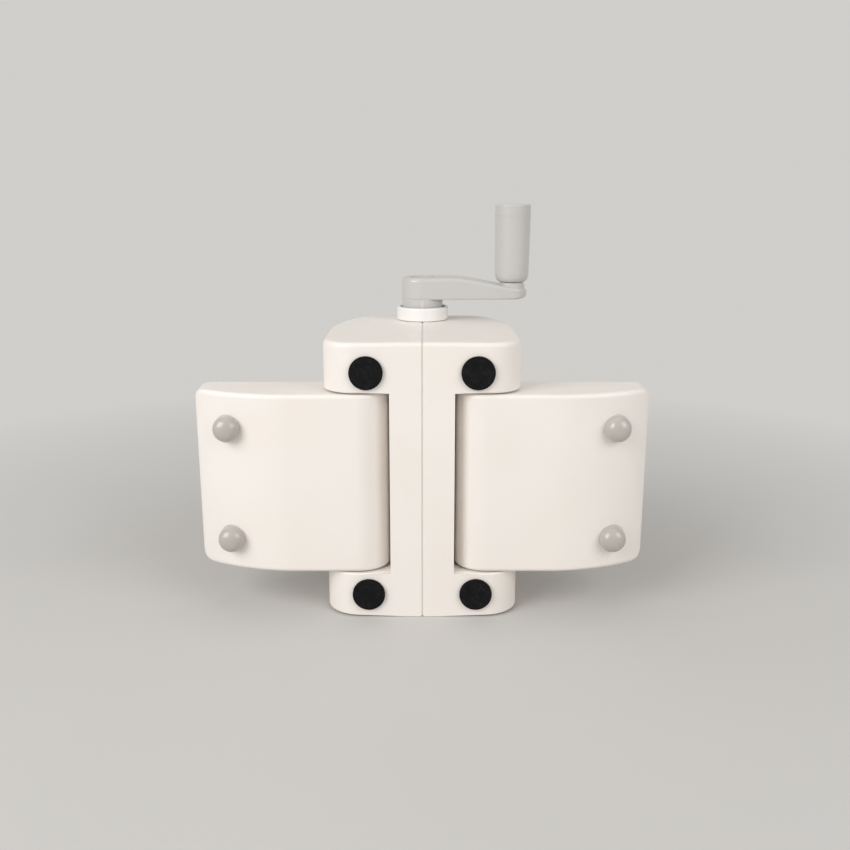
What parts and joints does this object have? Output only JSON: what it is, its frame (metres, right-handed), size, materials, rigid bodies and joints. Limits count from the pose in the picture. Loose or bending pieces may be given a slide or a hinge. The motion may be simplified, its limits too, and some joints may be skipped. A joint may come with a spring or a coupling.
{
  "type": "hand cranked die cutting machine",
  "caption": "Hand cranked die cutting machine with a plate slot between its rollers and a folding table at each side, standing on its far end with the tables open.",
  "frame": {"origin": "on the floor under the far end, in the middle of the outer box's footprint", "axes": "+X to the right table, +Y from the underside to the machine's top, +Z along the crank axis"},
  "size_m": [0.2592, 0.114, 0.2316],
  "materials": {
    "ivory_plastic": "satin moulded cream plastic",
    "white_plastic": "smooth white plastic",
    "light_grey_plastic": "fine satin light grey plastic",
    "warm_grey_rubber": "glossy warm grey rubber",
    "black_felt": "matt black foam rubber",
    "bright_steel": "ground steel",
    "dark_steel": "dark pressed steel",
    "bronze": "sintered bronze",
    "nylon": "natural nylon"
  },
  "bodies": {
    "root": {"left_housing": "ivory_plastic", "right_housing": "ivory_plastic", "crank_collar": "white_plastic", "crank_bush": "bronze", "far_end_frame": "dark_steel", "crank_end_frame": "dark_steel", "low_left_tie_rod": "bright_steel", "low_right_tie_rod": "bright_steel", "high_left_tie_rod": "bright_steel", "high_right_tie_rod": "bright_steel", "upper_far_bush": "bronze", "upper_crank_bush": "bronze", "lower_far_bush": "bronze", "lower_crank_bush": "bronze", "journal_bush": "bronze", "left_hinge_rod": "bright_steel", "right_hinge_rod": "bright_steel", "left_hinge_far_clip": "dark_steel", "left_hinge_crank_clip": "dark_steel", "right_hinge_far_clip": "dark_steel", "right_hinge_crank_clip": "dark_steel", "far_left_screw": "bright_steel", "far_right_screw": "bright_steel", "crank_left_screw": "bright_steel", "crank_right_screw": "bright_steel", "far_left_pad": "black_felt", "far_right_pad": "black_felt", "crank_left_pad": "black_felt", "crank_right_pad": "black_felt"},
    "crank": {"crank_arm": "light_grey_plastic", "crank_shaft": "bright_steel", "drive_pinion": "dark_steel", "crank_screw": "bright_steel", "crank_cap": "light_grey_plastic", "grip_spindle": "bright_steel", "crank_shaft_clip": "dark_steel"},
    "grip": {"handle_grip": "light_grey_plastic", "grip_cap": "light_grey_plastic"},
    "upper_roller_set": {"upper_roller": "bright_steel", "upper_roller_shaft": "bright_steel", "upper_drive_gear": "nylon", "upper_sync_gear": "nylon", "upper_far_clip": "dark_steel", "upper_crank_clip": "dark_steel"},
    "lower_roller_set": {"lower_roller": "bright_steel", "lower_roller_shaft": "bright_steel", "lower_sync_gear": "nylon", "lower_far_clip": "dark_steel", "lower_crank_clip": "dark_steel"},
    "left_wing": {"left_wing_shell": "ivory_plastic", "left_wing_table": "ivory_plastic", "left_wing_far_foot": "warm_grey_rubber", "left_wing_crank_foot": "warm_grey_rubber"},
    "right_wing": {"right_wing_shell": "ivory_plastic", "right_wing_table": "ivory_plastic", "right_wing_far_foot": "warm_grey_rubber", "right_wing_crank_foot": "warm_grey_rubber"}
  },
  "joints": [
    {"name": "crank_turn", "type": "hinge", "parent": "root", "child": "crank", "pos_m": [0, 0.039, 0], "axis": [0, 0, 1], "continuous": true},
    {"name": "grip_spin", "type": "hinge", "parent": "crank", "child": "grip", "pos_m": [0.056, 0.039, 0], "axis": [0, 0, 1], "continuous": true},
    {"name": "upper_roller_turn", "type": "hinge", "parent": "root", "child": "upper_roller_set", "pos_m": [0, 0.009, 0], "axis": [0, 0, 1], "continuous": true},
    {"name": "lower_roller_turn", "type": "hinge", "parent": "root", "child": "lower_roller_set", "pos_m": [0, -0.03, 0], "axis": [0, 0, 1], "continuous": true},
    {"name": "left_wing_fold", "type": "hinge", "parent": "root", "child": "left_wing", "pos_m": [-0.037, -0.0366, 0], "axis": [0, 0, -1], "range_deg": [0, 90]},
    {"name": "right_wing_fold", "type": "hinge", "parent": "root", "child": "right_wing", "pos_m": [0.037, -0.0366, 0], "axis": [0, 0, 1], "range_deg": [0, 90]}
  ],
  "couplings": [
    {"joint": "upper_roller_turn", "follows": "crank_turn", "ratio": -0.33333},
    {"joint": "lower_roller_turn", "follows": "crank_turn", "ratio": 0.33333}
  ]
}
